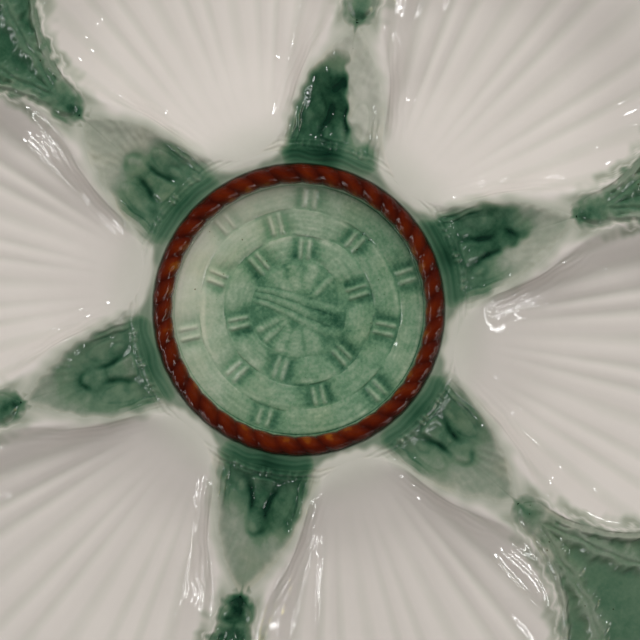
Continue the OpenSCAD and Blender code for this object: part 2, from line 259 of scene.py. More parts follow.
def panel_green(x, y, r, k, side):
    """Green on panel k: a dab that fades outwards to the thin green of the tip, with a soft wash round it."""
    strength, start, end, fall = np.moveaxis(DABS[k], -1, 0)
    tip = TIP_GREEN[k]
    half_w = flank_half(np.clip(r, COLLAR_R, TOUCH_R)) * RADIAN * r
    inside = half_w - abs(side) + 0.45 * drift(x, y, 6, 1)
    core = smooth(inside, -1.1 - 2.2 * (1 - smooth(r, 38, 42)), 3.2)
    lost = fall * smooth(-side + 0.5 * drift(x, y, 5, 9), -1.0, 4.0)
    fade = (1 - smooth(r + 20 * lost + 0.9 * drift(x, y, 7, 2), start, end)) * (1 - 0.45 * lost)
    heaped = 0.84 + 0.2 * hump(side, 0, 4.5) + 0.06 * drift(x, y, 4, 4) * smooth(r, 40, 44)
    dab = core * (tip + (strength * heaped - tip) * fade) * (0.78 + 0.22 * smooth(r, 36.5, 40))
    wash = np.minimum(EDGE_WASH, tip) * smooth(inside, -3.5, 1.5)
    return maximum(dab, wash) * (1 - smooth(r, TOUCH_R - 5, TOUCH_R + 1))

def weed_green(x, y, r, k, side):
    """Green on seaweed k: full beyond the shells' round ends, blunt at its stem, with a wash inside them."""
    out = r - TOUCH_R
    wisps = 0.5 * drift(x, y, 4, 5) + 0.45 * sin(side * 4.1 + 1)
    blunt = smooth(out - 0.1 * side ** 2 + wisps, -2.8, 1.6)
    soft = 1.6 * (1 - smooth(out, 4, 15))
    gap = lobe_gap(x, y)
    stem = 1 - smooth(out, 2, 7)
    ribbon = 0.38 + 0.26 * smooth(gap, 1.0, 3.4) + (0.16 + 0.07 * drift(x, y, 2.6, 6)) * stem
    weed = WEED_DABS[k] * ribbon * smooth(gap, -0.7 - soft, 0.2 + soft) * blunt
    line = hump(gap, -0.95, 0.35) * smooth(out, 1, 5)
    wash = EDGE_WASH * smooth(gap, -4.5, -1.2) * (1 - 0.8 * line) * smooth(out, -6, 2)
    return maximum(weed, wash)

def green_at(x, y):
    """Thickness of the green glaze over the plan, outside the sauce well."""
    r = hypot(x, y)
    turn = degrees(arctan2(y, x)) % 360
    k = (turn // STEP).astype(int) % SHELLS
    side = (turn - STEP * k - HALF_STEP) * RADIAN * r
    to_nose = r - 38.0 - 0.017 * fold(x, y)[1] ** 2 + 0.3 * drift(x, y, 5, 10)
    bank = 0.25 * (1 - smooth(to_nose, -1.9, 0.3)) + 0.06 * (1 - smooth(r, 41, 52))
    green = maximum(panel_green(x, y, r, k, side), bank) + weed_green(x, y, r, k, side)
    return np.clip(green, 0, 1)

# %% [markdown]
# The green of the well was read from the photograph, in which the first shell points 48.5 degrees up from the
# right. So the map is first turned that way.

# %% The green in the sauce well
PHOTO_TURN = 48.5
REFLECTION_SIDE = 149
POOL = (8.0, -2.2)

def mint_at(x, y):
    """Thickness of the green in the sauce well: paler towards the picture's upper left, a painted reflection,
    with a pool right of the middle.
    """
    px, py = np.moveaxis(polar(hypot(x, y), degrees(arctan2(y, x)) + PHOTO_TURN), -1, 0)
    r = hypot(px, py)
    # The paler side towards the upper left is a painted reflection of the room's light, and the opposite side
    # is a little darker.
    pale = cos(arctan2(py, px) - radians(REFLECTION_SIDE)) * smooth(r, 12, 33)
    pool = hump(px, POOL[0], 4.8) * hump(py + 0.3 * (px - POOL[0]), POOL[1], 2.6)
    even = 0.56 - 0.03 * smooth(r, 12, 28) + 0.09 * (1 - smooth(r, 6, 18))
    return even - 0.39 * np.clip(pale, -0.18, 1) + 0.27 * pool

# %% [markdown]
# ## From arrays to meshes
# A pressed feature is a slab: an upper sheet with the relief, given as a grid of points, a lower sheet that
# lies on the back, and walls between them. Only the upper sheet is shaded smooth, and the edge round it is
# marked sharp so that the hidden walls do not bend its shading. A ring is a closed profile carried round the
# axis, and a disc closes in a fan of triangles.

# %% One mesh from arrays
def put_object(name, data):
    """A new object in the scene that holds the data."""
    obj = bpy.data.objects.new(name, data)
    scene.collection.objects.link(obj)
    return obj

def put_mesh(name, points, quads, tris=np.zeros((0, 3), int), flags=None, sharp=None, **values):
    """A mesh from points in millimetres and faces, with flags for the smooth faces, sharp for the points round
    an edge that is not smooth, and a float attribute for each named value."""
    mesh = bpy.data.meshes.new(name)
    mesh.vertices.add(len(points))
    mesh.vertices.foreach_set("co", (points * MM).astype(np.float32).ravel())
    loops = concatenate([quads.ravel(), tris.ravel()]).astype(np.int32)
    mesh.loops.add(len(loops))
    mesh.loops.foreach_set("vertex_index", loops)
    starts = concatenate([arange(len(quads)) * 4, len(quads) * 4 + arange(len(tris)) * 3])
    mesh.polygons.add(len(starts))
    mesh.polygons.foreach_set("loop_start", starts.astype(np.int32))
    mesh.update(calc_edges=True)
    mesh.polygons.foreach_set("use_smooth", np.ones(len(starts), bool) if flags is None else flags)
    if sharp is not None:
        ends = np.zeros(len(mesh.edges) * 2, np.int32)
        mesh.edges.foreach_get("vertices", ends)
        mark = mesh.attributes.new("sharp_edge", "BOOLEAN", "EDGE")
        mark.data.foreach_set("value", sharp[ends.reshape(-1, 2)].all(axis=1))
    for key, value in values.items():
        mesh.attributes.new(key, "FLOAT", "POINT").data.foreach_set("value", value.astype(np.float32).ravel())
    mesh.validate()
    return put_object(name, mesh)

# %% Faces of grids, rings and discs
def grid(down, across):
    """Two arrays that carry the values of down along the rows and those of across along the columns."""
    return np.meshgrid(down, across, indexing="ij")

def grid_quads(rows, cols, wrap=False):
    """Faces of a grid of points, row by row, seen from above when columns run to the left of rows."""
    i, j = grid(arange(rows - 1), arange(cols if wrap else cols - 1))
    k = (j + 1) % cols
    return np.stack([i * cols + j, (i + 1) * cols + j, (i + 1) * cols + k, i * cols + k], -1).reshape(-1, 4)

def ring_quads(turns, count):
    """Faces of a closed profile of count points that stands at that many turns round the axis."""
    i, j = grid(arange(turns), arange(count))
    k, n = (j + 1) % count, (i + 1) % turns
    return np.stack([i * count + j, i * count + k, n * count + k, n * count + j], -1).reshape(-1, 4)

def fan(pole, first, turns, up=True):
    """Triangles from a pole to the ring of points that begins at first, seen from above or from below."""
    j, k = arange(turns), (arange(turns) + 1) % turns
    ring = (j, k) if up else (k, j)
    return np.stack([np.full_like(j, pole), first + ring[0], first + ring[1]], -1)

# %% Slabs, and six of them round the plate
def slab(name, upper, lower_z, **values):
    """An upper sheet of points closed by walls and a lower sheet at the heights lower_z."""
    rows, cols = upper.shape[:2]
    n = rows * cols
    lower = upper.copy()
    lower[..., 2] = lower_z
    top = grid_quads(rows, cols)
    index = arange(n).reshape(rows, cols)
    ring = concatenate([index[0, :-1], index[:-1, -1], index[-1, :0:-1], index[:0:-1, 0]])
    after = np.roll(ring, -1)
    walls = np.stack([ring, after, after + n, ring + n], -1)
    sharp = np.zeros(2 * n, bool)
    sharp[ring] = True
    doubled = {key: np.tile(value.ravel(), 2) for key, value in values.items()}
    points = concatenate([upper.reshape(-1, 3), lower.reshape(-1, 3)])
    quads = concatenate([top, top[:, ::-1] + n, walls])
    return put_mesh(name, points, quads, flags=arange(len(quads)) < len(top), sharp=sharp, **doubled)

def turned(upper, angle):
    """The same points turned about the plate's axis by an angle in degrees."""
    c, s = cos(radians(angle)), sin(radians(angle))
    return upper @ np.array([[c, s, 0], [-s, c, 0], [0, 0, 1]])

def six_slabs(name, points, proud, lower_z, first_turn=0):
    """A slab for each shell or gap, each with the green that lies in its own place."""
    slabs = []
    for k in range(SHELLS):
        placed = turned(points, STEP * k + first_turn)
        green = green_at(placed[..., 0], placed[..., 1])
        slabs.append(slab(f"{name}_{k + 1}", placed, lower_z, proud=proud, green=green))
    return slabs

def on_seat(points):
    """Height of the plate's back under each point, a hair clear of it."""
    return seat_z(hypot(points[..., 0], points[..., 1])) + LAY

# %% [markdown]
# ## The shells
# A scallop's ribs fan out from its hinge, so a rib is a cosine of the angle round one point behind the nose.
# The ribs start faint at the nose, as in the worn mould, and are full from halfway out. Fine lines run along
# the flanks, where the outer ribs crowd together. The hollow under them falls away from the lips in three soft
# ramps: flanks, nose and round end.

# %% The surface of a shell
RIB_H = 0.55
LINE_H = 0.07
LINE_STEP = 1.4
ROWS, COLS = ((120, 200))

def shell_surface():
    """Points of a shell with its ribs, and how proud each point stands."""
    s, t = grid(linspace(0, 1, ROWS), linspace(-1, 1, COLS))
    plan = shell_plan(t, s)
    x, y = plan[..., 0], plan[..., 1]
    r = hypot(x, y)
    half_w = 9 + 28 * s
    across = soft_start(1 - abs(t), 1.3 / half_w)
    near = soft_start(share_of(s, 0, 0.36), 0.22)
    far = soft_start(share_of(1 - s, 0, 0.4), 0.14)
    well = (1 - (1 - across) ** 3) * (1 - (1 - near) ** 2) * (1 - (1 - far) ** 2)
    edge = (1 - abs(t)) * half_w
    wave = rib_wave(x, y)
    uneven = 1 - 0.25 * sin(0.15 * degrees(arctan2(abs(y), x - RIB_FOCUS))) ** 2
    strength = smooth(s, 0.08, 0.6) * smooth(edge, 0.0, 1.8) * uneven
    lines = cos(2 * np.pi * edge / LINE_STEP + 0.9 * drift(x, y, 7, 16))
    lines = lines * span(edge, 0.6, 1.6, 4, 8) * span(s, 0.04, 0.2, 0.6, 0.8)
    bowl = lip_z(r) + (seat_z(r) + SHELL_WALL - lip_z(r)) * well
    z = bowl + RIB_H * strength * wave ** 0.8 + LINE_H * lines - rim_drop(x, y)
    proud = 0.5 + (wave - 0.5) * strength + 0.1 * lines
    return raised(plan, z), proud

points, proud = shell_surface()
shells = six_slabs("shell", points, proud, on_seat(points))
print("Shell grid", points.shape, "depth", round(float(LIP_IN_Z - points[..., 2].min()), 1), "mm")

# %% [markdown]
# ## The basketwork panels
# A panel is a shallow hollow. On its axis stands a column of woven strands that narrows to a bud, with a scroll
# and a long leaf on either side, and a pair of stakes under it. The list of soft mounds was made from the six
# panels. It gives how far out and how far to the side each lies, its half length, half width and height.

# %% The relief of a panel
MOUNDS = [(54.2, 0.0, 2.9, 1.9, 0.45), (48.6, 5.9, 5.4, 2.0, 0.42), (58.6, 4.7, 3.8, 1.8, 0.25),
          (47.0, 9.4, 5.0, 0.4, 0.4), (46.2, 10.8, 4.6, 0.35, 0.4), (41.6, 0.75, 1.3, 0.45, 0.8),
          (41.6, 6.0, 1.1, 0.4, 0.55), (41.6, 7.5, 1.1, 0.4, 0.55), (41.8, 3.4, 0.8, 1.3, 0.3)]
COLUMN_OUT = [43.0, 43.7, 46.0, 48.5, 50.8]
COLUMN_HALF = [2.3, 2.8, 2.2, 1.5, 1.1]
SCROLL = (46.2, 5.1)
LEAF = (48.6, 5.7)
BUD_R = 54.3

def mound(out, side, length, width):
    """A rounded bump that falls with the fourth power of the distance and is gone soon after its edge."""
    return exp(-0.7 * ((out / length) ** 2 + (side / width) ** 2) ** 2)

def panel_relief(r, side):
    """How high the motif stands on a panel, and how deep the glaze pools round it."""
    off = abs(side)
    relief = 0
    for out, place, length, width, height in MOUNDS:
        relief = maximum(relief, height * mound(r - out, off - place, length, width))
    wide = np.interp(r, COLUMN_OUT, COLUMN_HALF)
    column = smooth(wide - off, -0.6, 0.8) * (1 - 0.45 * share_of(r, 44, 50)) * span(r, 42.8, 43.7, 50.3, 51.6)
    scroll = 0.25 * hump(hypot((r - SCROLL[0]) / 2.1, (off - SCROLL[1]) / 1.25), 1, 0.4)
    rays = 0.1 * cos(arctan2(side, r - 48) * 44) * span(r, 56, 60, 66, 70)
    ripple = 0.2 * sin(r * 4.6 + 0.9 * sin(side * 0.8)) * (1 - smooth(r, 42, 43.5))
    flank = hump(off - wide, 0.9, 0.75) * span(r, 43.6, 48, 50.5, 53.5)
    cap = hump(hypot((r - BUD_R) / 1.25, off), 2.4, 0.7) * smooth(r, 54, 57)
    outline = hump(hypot((r - LEAF[0]) / 5.4, (off - LEAF[1]) / 2.2), 1.05, 0.1) * smooth(r, 45, 48)
    slit = hump(side, 0, 0.3) * span(r, 57.5, 60, 69, 72)
    dashes = smooth(cos(off * 4.2 + 0.4 * sin(r * 1.3)), 0.3, 1) * smooth(off, 7.6, 8.4)
    dashes = dashes * span(r, 41, 43, 49, 53)
    pool = np.maximum.reduce([flank, cap, 0.2 * outline, 0.12 * slit, 0.3 * scroll, 0.4 * dashes])
    return maximum(relief, column) - scroll + rays + ripple, pool

# %% The surface of a panel
PANEL_ROWS, PANEL_COLS = ((150, 100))
SAG = 3.2

def panel_surface():
    """Points of a panel with its woven relief, and how proud each point stands."""
    v, q = grid(linspace(0, 1, PANEL_ROWS), linspace(-1, 1, PANEL_COLS))
    r = COLLAR_R + (TOUCH_R - 0.05 - COLLAR_R) * v
    half = HALF_STEP - shell_half(r)
    plan = polar(r, q * half)
    side = q * half * RADIAN * r
    x, y = np.moveaxis(plan, -1, 0)
    bend = 0.22 * drift(x, y, 6, 7)
    relief, pool = panel_relief(r + bend, side + 0.8 * bend)
    edge = (1 - abs(q)) * half * RADIAN * r
    hem = smooth(edge, 0.1, 1.8) * smooth(r, 40, 40.8)
    dip = 1 - exp(-(soft_start(edge / 6, 0.3) * 1.8) ** 1.2)
    sag = SAG * dip * (1 - v ** 2) * smooth(r, 40, 47)
    lumps = 0.06 * drift(x, y, 3, 8)
    z = lip_z(r) - sag + (0.6 * relief - 0.3 * pool + lumps) * hem
    proud = 0.45 + (0.34 * relief - 0.5 * pool + 0.6 * lumps) * hem + 0.1 * (1 - smooth(edge, 0, 2.5))
    return raised(plan, z), proud

points, proud = panel_surface()
panels = six_slabs("panel", points, proud, SEAT_Z + LAY, HALF_STEP)
print("Panel grid", points.shape)

# %% [markdown]
# ## The seaweed
# Between the round ends of two shells a stem forks into two ruffled fronds that follow the shells' edges. The
# ground between them is sunk, so the green pools there.

# %% The surface of the seaweed
WEED_ROWS, WEED_COLS = ((120, 120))
LOW_COS = (GROUND_R ** 2 + LOBE_MID_R ** 2 - LOBE_R ** 2) / (2 * GROUND_R * LOBE_MID_R)
END = polar(GROUND_R, degrees(arccos(LOW_COS))) - [LOBE_MID_R, 0]
END_T = degrees(arctan2(END[1], END[0])) / EAR_TURN
START_T = 0.996
SINK = 1.6
WEED_H = 2.0

def weed_surface():
    """Points of the seaweed: rows along the shells' ends, columns from one shell to the next."""
    v, q = grid(linspace(0, 1, WEED_ROWS), linspace(-1, 1, WEED_COLS))
    side = lobe_point(START_T - (START_T - END_T) * v)
    r = hypot(side[..., 0], side[..., 1])
    half = HALF_STEP - degrees(arctan2(side[..., 1], side[..., 0]))
    turn = q * half
    plan = polar(r, turn)
    wide = half * RADIAN * r
    reach = r - TOUCH_R
    away = (1 - abs(q)) * wide
    ruffle = 0.35 * sin(reach * 1.15 + turn * 0.31) + 0.2 * sin(reach * 2.7 + 1)
    ribbon = exp(-abs((away - 1.5 - ruffle) / 1.25) ** 3) * smooth(reach, 4, 12)
    middle = 0.46 * wide * smooth(reach, 5, 16)
    frilled = 2.5 * (1 + 0.24 * sin(reach * 0.9 + 0.5) + 0.1 * sin(reach * 2.3))
    off = (abs(q) * wide - middle) / frilled
    frond = exp(-0.9 * abs(off) ** 2.6) * smooth(reach, 2, 9)
    crease = 0.3 * hump(off, 0.1 * sin(reach * 0.8), 0.25) * smooth(reach, 6, 10)
    frill = 0.14 * cos(reach * 3.1 + 1.5 * off) * smooth(abs(off), 0.3, 0.9)
    knot = 0.55 * hump(reach, 3.5, 4.5)
    shape = np.maximum.reduce([np.clip(frond * (1 + frill) - crease, 0, 1.3), 0.8 * ribbon, knot])
    hem = smooth(away, 0.1, 1.8) * smooth(reach, 0, 3)
    sink = SINK * smooth(away, 0, 3.2) * smooth(reach, 3, 11)
    z = lip_z(r) - sink + WEED_H * shape * hem - rim_drop(plan[..., 0], plan[..., 1])
    proud = 0.2 + 0.55 * shape * hem + 0.3 * (1 - hem)
    return raised(plan, z), proud

points, proud = weed_surface()
weeds = six_slabs("seaweed_piece", points, proud, on_seat(points), HALF_STEP)
print("Seaweed grid", points.shape)

# %% [markdown]
# ## The sauce well
# The middle of the plate is pressed like the base of a round basket. Three rings of flat withies run round it,
# and each passes over one pair of stakes and under the next. The stakes were set by hand, and their angles here
# are as uneven as the potter's. Inside the rings, short withies spread like petals, and four long ones lie
# across them. PETALS gives the angle and half width of each short one.

# %% Angles and radii of the weaving
STAKES = np.array([[-31, 36, 82, 143.5, 203.5, 265.5], [2.1, 56.5, 110.1, 175.9, 234.5, 299.1]])
RING_EDGES = [12.2, 19.0, 25.4, 31.4]
PETALS = np.array([[45, 0.9], [72, 1.9], [97, 2.0], [122, 2.3], [206, 0.9], [222, 0.9], [243, 1.7],
                   [264, 2.3], [290, 2.1], [330, 1.6]])

def stake_gap(a, stakes):
    """Signed angle from the nearest pair of stakes."""
    gaps = turn_gap(a[..., None], stakes)
    near = abs(gaps).argmin(-1)
    return np.take_along_axis(gaps, near[..., None], -1)[..., 0]

def stake_pair(d, half):
    """Two soft bars side by side at distance d from the middle of the pair."""
    return exp(-(abs(abs(d) - half) / 0.62) ** 2.6)

def band_shape(u):
    """Rounded height across a band of weaving, for u from 0 to 1."""
    return np.clip(1 - abs(2 * u - 1) ** 3.0, 0, 1) ** 0.85

def ring_edge(t, k):
    """How far the edge between two rings wanders from its circle, for the angle t in radians."""
    return 0.25 * sin(3 * t + 2 * k) + 0.15 * sin(7 * t + k)

def seam(t, k):
    """How clearly the seam beyond ring k shows at the angle t in radians."""
    return 0.8 * smooth(sin(3 * t + 1.7 * k + 2.2 + sin(5 * t + k)), 0.0, 1.1)

# %% Three woven rings
def woven_ring(r, a, k):
    """Ring k of the weaving: where it lies, how proud it stands, how pale its glaze is with its painted shade
    and highlights, and its stakes.
    """
    t = radians(a)
    d = stake_gap(a, STAKES[k % 2]) * RADIAN * r
    half = 0.8 + 0.016 * r
    low = RING_EDGES[k] + ring_edge(t, k)
    high = RING_EDGES[k + 1] + ring_edge(t, k + 1) * (k < 2)
    u = share_of(r, low, high)
    over = smooth(abs(d), half + 0.7, half + 5.0)
    cuts = 1 - cos(2 * np.pi * (3.5 * u + 0.35 * sin(5 * t + k)))
    strands = 1 - (0.04 + 0.15 * (1 - over)) * cuts
    lift = 0.7 * (1 - where(u > 0.5, seam(t, k), seam(t, k - 1)))
    shape = band_shape(np.clip(0.5 + (u - 0.5) * (1.3 - 0.3 * over), 0, 1))
    band = (0.25 + 0.75 * over) * strands * (lift + (1 - lift) * shape)
    ends = span(u, 0.0, 0.24, 0.76, 1.0)
    bars = stake_pair(d, half) * ends
    # The moat is glaze pooled beside each pair of stakes; it is twice as dark on one side, which is painted
    # shade.
    moat = hump(abs(d) - half, 1.5, 0.95) * ends * where(d > 0, 1.0, 0.5)
    # The line is a painted shadow along the seam beyond the ring, where the band dips.
    line = hump(r, high, 0.7) * seam(t, k) * (k < 2)
    # A painted highlight along the outer crest of each band, in places round the ring.
    crest_highlight = hump(u, 0.88, 0.09) * smooth(sin(2 * t + 2.3 * k), -0.5, 0.8) * over
    pale = 0.32 + 0.26 * over * strands + 0.42 * bars - 0.34 * moat - 0.4 * line + 0.22 * crest_highlight
    return (r >= low) & (r < high), maximum(bars, band - 0.4 * moat), pale, bars

def woven(r, a):
    """How proud the basketwork stands, and how pale its glaze is with its painted shade and highlights, from 0
    to 1.
    """
    proud, pale, rough = 0, 0, 1
    for k in range(3):
        here, ring_proud, ring_pale, bars = woven_ring(r, a, k)
        proud, pale = where(here, ring_proud, proud), where(here, ring_pale, pale)
        rough = where(here, 1 - bars, rough)
    off = abs(turn_gap(a[..., None] + PHOTO_TURN, PETALS[:, 0])) * RADIAN * r[..., None] / PETALS[:, 1]
    petals = exp(-off ** 2.4).max(-1) * span(r, 2.5, 6.5, 11.0, 13.0)
    middle = r < RING_EDGES[0] + 0.6
    proud = where(middle, maximum(proud, 0.25 + 0.6 * petals), proud)
    pale = where(middle, maximum(pale, 0.3 + 0.42 * petals), pale)
    x, y = np.moveaxis(polar(r, a), -1, 0)
    streaks = 0.04 * rough * grain(r, a, 12) + 0.035 * drift(x, y, 5, 21)
    return proud + 0.03 * rough * grain(r, a, 11), pale + streaks

# %% The middle strands
HEART_TURN = 17
HEART_STEP = 2.4

def heart(r, a):
    """The four long strands across the very middle: round bars side by side, and where they lie."""
    x, y = np.moveaxis(polar(r, a + PHOTO_TURN + HEART_TURN), -1, 0)
    m = (y - 0.4 + 0.45 * sin(x / 4.5)) / (1 + 0.03 * x)
    bars = abs(cos(np.pi * (m + 0.2) / HEART_STEP + 0.1 * sin(x))) ** 0.8
    return bars, (1 - smooth(abs(m), 2.6, 4.4)) * (1 - smooth(abs(x + 1), 8.5, 13))

# %% The well's surface from the middle to the collar
WELL_ROWS, WELL_COLS = ((150, 620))
FLOOR_R = 31.6
FLOOR_Z = 10.8
FLOOR_RISE = 3.5
ROPE_SEAT_Z = LIP_IN_Z - 2.1
WELL_RELIEF = 0.7
DISH_R = 33.0
EVEN = 0.5

def well_height(r, a):
    """Height of the woven floor and of the wall under the rope, and how pale its glaze is, painted shade and
    highlights included.
    """
    weave, pale = woven(r, a)
    bars, core = heart(r, a)
    weave = weave * (1 - core) + (0.35 + 0.4 * bars) * core
    pale = pale * (1 - core) + (0.3 + 0.32 * bars) * core
    relief = WELL_RELIEF * weave * (1 - smooth(r, FLOOR_R - 0.4, FLOOR_R))
    floor = FLOOR_Z + FLOOR_RISE * (r / FLOOR_R) ** 3 + relief
    wall = smooth(r, FLOOR_R - 0.3, FLOOR_R + 0.8)
    return floor * (1 - wall) + ROPE_SEAT_Z * wall, where(r < FLOOR_R - 0.1, pale, EVEN)

def well_surface():
    """Rings of points from near the middle to the rope, then down to the seat, closed by two fans."""
    r, a = grid(linspace(0.25, DISH_R, WELL_ROWS), round_turn(WELL_COLS))
    z, proud = well_height(r, a)
    plan = polar(r, a)
    upper = raised(plan, z).reshape(-1, 3)
    foot = raised(plan[-1], np.full(WELL_COLS, SEAT_Z + LAY))
    points = concatenate([upper, foot, [[0, 0, z[0].mean()], [0, 0, SEAT_Z + LAY]]])
    quads = grid_quads(WELL_ROWS + 1, WELL_COLS, wrap=True)
    n = len(upper)
    pole = n + WELL_COLS
    tris = concatenate([fan(pole, 0, WELL_COLS), fan(pole + 1, n, WELL_COLS, up=False)])
    flags = arange(len(quads) + len(tris)) < n - WELL_COLS
    flags[len(quads):len(quads) + WELL_COLS] = True
    sharp = np.zeros(len(points), bool)
    sharp[n - WELL_COLS:n + WELL_COLS] = True
    extra = np.full(WELL_COLS + 2, EVEN)
    green = mint_at(plan[..., 0], plan[..., 1])
    return put_mesh("sauce_dish", points, quads, tris, flags, sharp,
                    proud=concatenate([proud.ravel(), extra]), green=concatenate([green.ravel(), extra]))

sauce_dish = well_surface()
print("Sauce dish", len(sauce_dish.data.vertices), "points")

# %% [markdown]
# Outside the rope lies a narrow bank that belongs to the shells and the panels in its glaze: cream where a
# shell's nose meets the rope, and green with fine wavy lines where a panel does. It is a ring of its own,
# because its glaze is the shells' and not the well's.

# %% The bank outside the rope
BANK_TURNS = 720
BANK_STEP = 1.6

def bank_surface():
    """A closed profile carried round: up the inside, over the bank, down at the collar and back underneath."""
    top = linspace(DISH_R + 0.1, COLLAR_R, 30)
    a, r = grid(round_turn(BANK_TURNS), top)
    plan = polar(r, a)
    x, y = np.moveaxis(plan, -1, 0)
    green = green_at(x, y)
    woven_side = smooth(green, 0.2, 0.5)
    green = green + 0.1 * woven_side
    bent = 0.6 * sin(radians(a) * 23) + 1.2 * drift(x, y, 9, 13)
    lines = sin(r * 4.6 + bent) * smooth(r, 37, 37.6) * woven_side
    climb = (LIP_IN_Z - ROPE_SEAT_Z - BANK_STEP) * smooth(r, 36.6, 39.4)
    z = ROPE_SEAT_Z + BANK_STEP * smooth(r, 36.0, 36.7) + climb + 0.08 * lines * (1 - smooth(r, 39.4, 40))
    # The pale line at r 36.9, along the foot of the rope, is a painted highlight.
    proud = 0.45 + 0.3 * hump(r, 36.9, 0.4) + 0.12 * lines
    below = raised(polar(top[[-1, 0]], a[:, :2]), np.full((BANK_TURNS, 2), SEAT_Z + LAY))
    points = concatenate([raised(plan, z), below], 1)
    count = points.shape[1]
    place = np.tile(arange(count), BANK_TURNS)
    flags = place < len(top) - 1
    tail = np.full((BANK_TURNS, 2), EVEN)
    return put_mesh("rope_bank", points.reshape(-1, 3), ring_quads(BANK_TURNS, count),
                    flags=flags, sharp=~flags | (place == 0), proud=concatenate([proud, tail], 1),
                    green=concatenate([green, tail], 1))

rope_bank = bank_surface()

# %% [markdown]
# ## The rope
# The rope is one ring with the strands' lay cut into it: a half round profile, carried round, that swells and
# shrinks with the strands. Each strand leans: its angle grows from the inside of the ring to the outside.

# %% The rope ring
ROPE_R = 34.1
ROPE_HALF = 2.5
ROPE_H = 4.1
STRANDS = 38
STRAND_LEAN = 5.5
ROPE_TURNS, ROPE_POINTS = ((1140, 34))

def rope_surface():
    """Sections round the ring: an ellipse's upper half, closed by its flat base."""
    a, b = grid(round_turn(ROPE_TURNS), linspace(0, 180, ROPE_POINTS))
    cb, sb = cos(radians(b)), sin(radians(b))
    wobble = 0.12 * sin(radians(a) * 5 + 1) + 0.1 * sin(radians(a) * 11)
    phase = STRANDS * radians(a - STRAND_LEAN * cb / 2) + 2 * wobble
    lobe = abs(cos(phase / 2)) ** 0.9
    inner = 1 - smooth(cb, -0.5, 0.6)
    swell = 1 - 0.2 * (1 - lobe) * (0.7 + 0.3 * inner)
    hair = 0.012 * sin(STRANDS * 4 * radians(a - (STRAND_LEAN + 4) * cb / 2)) * lobe
    r = ROPE_R + ROPE_HALF * cb * (1 - (1 - swell) * 0.55) + hair * cb
    z = ROPE_SEAT_Z + 0.05 + ROPE_H * sb ** 0.8 * (swell + hair)
    points = raised(polar(r, a), z)[:, ::-1]
    # The strands' colour stands out more on the ring's inner side, part of the painted light there.
    proud = (0.62 + (lobe - 0.62) * (0.8 + 0.3 * inner))[:, ::-1]
    quads = ring_quads(ROPE_TURNS, ROPE_POINTS)[:, ::-1]
    flags = np.tile(arange(ROPE_POINTS) != ROPE_POINTS - 1, ROPE_TURNS)
    return put_mesh("rope", points.reshape(-1, 3), quads, flags=flags, proud=proud, side=cb[:, ::-1])

rope = rope_surface()
print("Rope", len(rope.data.vertices), "points")

# %% [markdown]
# ## The back and the foot
# The back was shaped on a wheel, so it is a lathe surface that stops at the plate's outline. The foot ring is a
# second one. Its flat face is wiped free of glaze, or it would stick to the kiln.

# %% The plain back
BACK_TURNS = 720
EDGE_ROUND = 1.3
BACK_PROUD = 0.6

def outline_r(a):
    """Radius of the plate's outline at angle a: the ground circle, or a round end that reaches further."""
    a = radians((a + HALF_STEP) % STEP - HALF_STEP)
    under = LOBE_R ** 2 - (LOBE_MID_R * sin(a)) ** 2
    lobe = LOBE_MID_R * cos(a) + sqrt(np.clip(under, 0, None))
    return where(under > 0, maximum(lobe, GROUND_R), GROUND_R)

def back_surface():
    """Underside from the middle to the rim, the rim's edge, and the seat back to the middle."""
    a = round_turn(BACK_TURNS)
    edge = outline_r(a)[None, :]
    under_r = concatenate([linspace(0.02, 0.55, 12), linspace(0.58, 0.985, 26)])[:, None] * edge
    bend = radians(linspace(0, 90, 7))[:, None]
    bend_r = edge - EDGE_ROUND * (1 - sin(bend))
    bend_z = seat_z(edge) - BACK_WALL + EDGE_ROUND * (1 - cos(bend))
    top_r = concatenate([[1.0], linspace(0.98, 0.55, 22), [0.3, 0.02]])[:, None] * edge
    r = concatenate([under_r, bend_r, top_r])
    z = concatenate([seat_z(under_r) - BACK_WALL, bend_z, seat_z(top_r)])
    points = raised(polar(r, np.broadcast_to(a, r.shape)), z).reshape(-1, 3)
    n = len(points)
    points = concatenate([points, [[0, 0, BACK_Z], [0, 0, SEAT_Z]]])
    quads = grid_quads(len(r), BACK_TURNS, wrap=True)[:, ::-1]
    caps = concatenate([fan(n, 0, BACK_TURNS, up=False), fan(n + 1, n - BACK_TURNS, BACK_TURNS)])
    return put_mesh("plain_back", points, quads, caps,
                    proud=np.full(len(points), BACK_PROUD), green=np.zeros(len(points)))

# %% The foot ring
FOOT_TURNS = 360
FOOT_PROFILE = np.array([[59.4, 4.95], [59.4, 0.9], [59.7, 0.25], [60.3, 0.0], [63.1, 0.0], [63.8, 0.25],
                         [64.2, 0.9], [65.2, 4.95]])

def foot_surface():
    """The foot ring: a tapered ring with rounded edges, bare on its flat face."""
    a, z = grid(round_turn(FOOT_TURNS), FOOT_PROFILE[:, 1])
    points = raised(polar(FOOT_PROFILE[:, 0], a), z).reshape(-1, 3)
    return put_mesh("foot", points, ring_quads(*z.shape), bare=(z == 0) * 1.0,
                    proud=np.full(len(points), BACK_PROUD), green=np.zeros(len(points)))

plain_back = back_surface()
foot = foot_surface()
print("Back", len(plain_back.data.vertices), "points")

# %% [markdown]
# ## Glazes
# Majolica glaze is coloured glass over pale clay. Where it lies thin it shows the clay, and where it pools it
# turns dark. So its colour is a ramp along its thickness: cream, then grey green, mint, leaf green and nearly
# black green. Noise moves the thickness a little, because glaze never keeps to a line.

# %% Helpers for node materials
def feed(tree, socket, value):
    """Set a socket to a number or a colour, or join it to another node's output."""
    if isinstance(value, bpy.types.NodeSocket):
        tree.links.new(value, socket)
    else:
        socket.default_value = value

